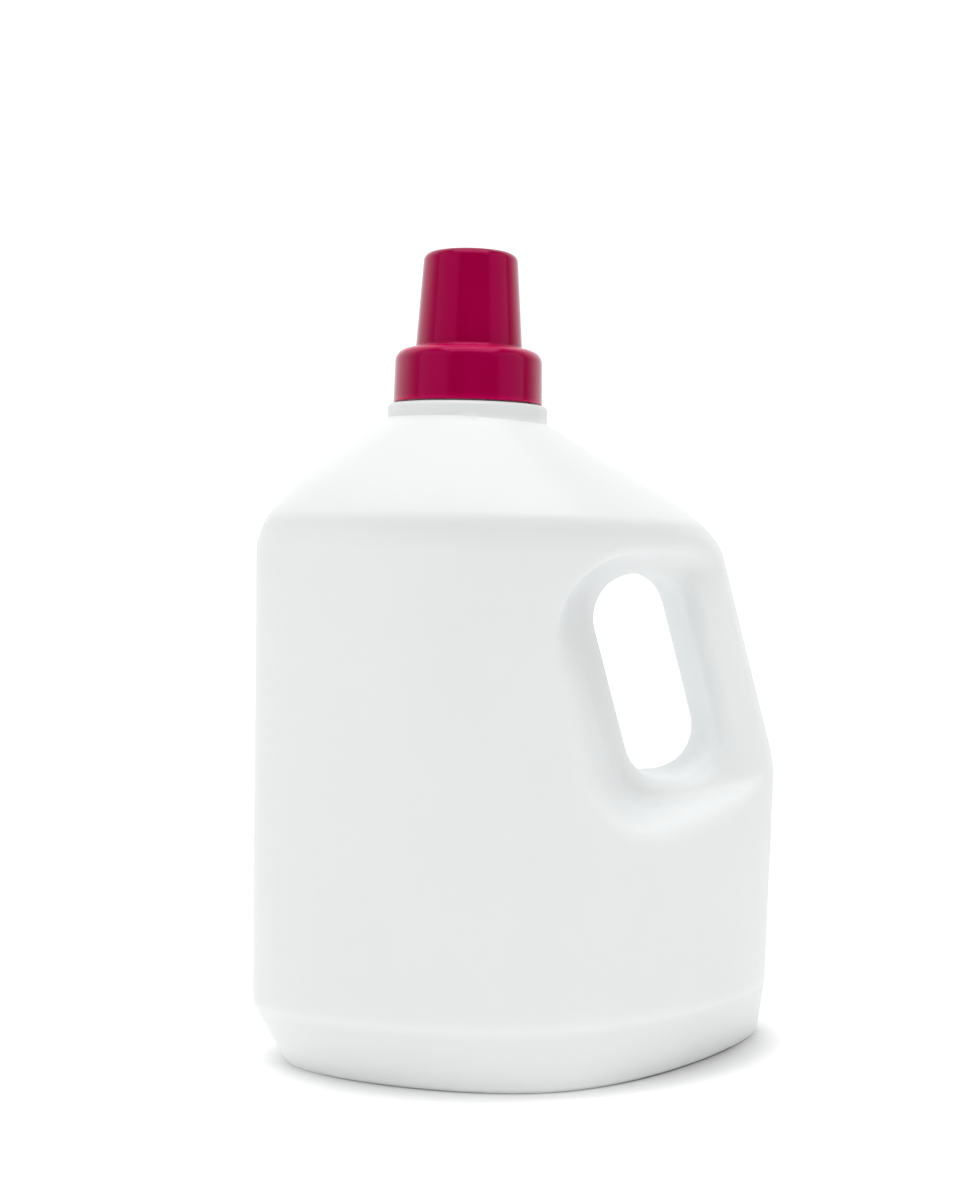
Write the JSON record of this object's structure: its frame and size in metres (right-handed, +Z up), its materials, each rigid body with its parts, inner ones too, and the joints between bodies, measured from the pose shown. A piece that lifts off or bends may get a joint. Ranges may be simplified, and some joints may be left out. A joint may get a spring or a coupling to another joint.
{
  "type": "detergent jug",
  "caption": "White blow-moulded detergent jug with a leaning pinched through-handle, flared base, sloping shoulder and a stepped magenta screw-on dosing cap over a drain-back spout.",
  "frame": {"origin": "middle of the footprint on the plane the base rests on", "axes": "+X toward the handle, -Y the front face, +Z up along the neck"},
  "size_m": [0.2036, 0.106, 0.2962],
  "materials": {
    "white_hdpe": "satin white",
    "natural_pp": "natural",
    "seal_foam": "matt foam",
    "magenta_pp": "glossy"
  },
  "bodies": {
    "jug": {"jug_body": "white_hdpe", "pour_spout": "natural_pp"},
    "seal": {"cap_seal": "seal_foam"},
    "cap": {"dosing_cap": "magenta_pp"}
  },
  "joints": [
    {"name": "cap_lift", "type": "slide", "parent": "jug", "child": "seal", "axis": [0, 0, 1], "range_m": [0, 0.028]},
    {"name": "cap_turn", "type": "hinge", "parent": "seal", "child": "cap", "pos_m": [-0.0248, 0, 0.25], "axis": [0, 0, 1], "range_deg": [0, 1260]}
  ],
  "couplings": [
    {"joint": "cap_turn", "follows": "cap_lift", "rad_per_m": 785.4}
  ]
}
